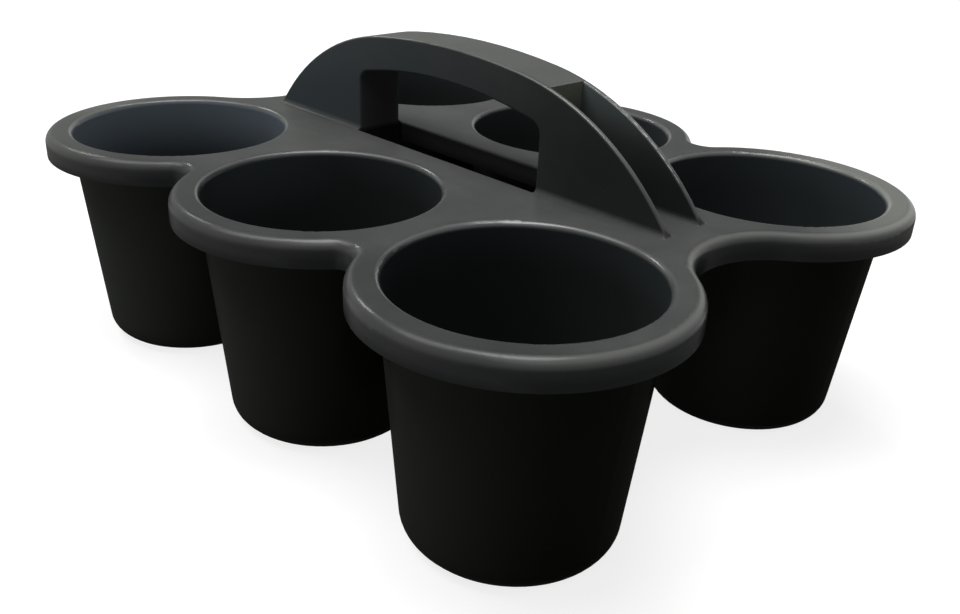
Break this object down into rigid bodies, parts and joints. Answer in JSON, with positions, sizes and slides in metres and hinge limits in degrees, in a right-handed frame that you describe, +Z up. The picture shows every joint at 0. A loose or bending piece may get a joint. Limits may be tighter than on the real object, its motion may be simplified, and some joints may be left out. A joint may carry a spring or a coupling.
{
  "type": "cup carrier",
  "caption": "Moulded plastic carrier with two rows of tapered open cups under a flat deck and a hollow arched carrying handle between the rows.",
  "frame": {"origin": "on the floor under the middle of the handle, in the plane of the cup bases", "axes": "+X along the rows of cups and the handle, +Y across the rows, +Z up"},
  "size_m": [0.3374, 0.2662, 0.1473],
  "materials": {
    "carrier_plastic": "satin charcoal-black moulded polypropylene"
  },
  "bodies": {
    "root": {"cup_carrier": "carrier_plastic"}
  },
  "joints": []
}
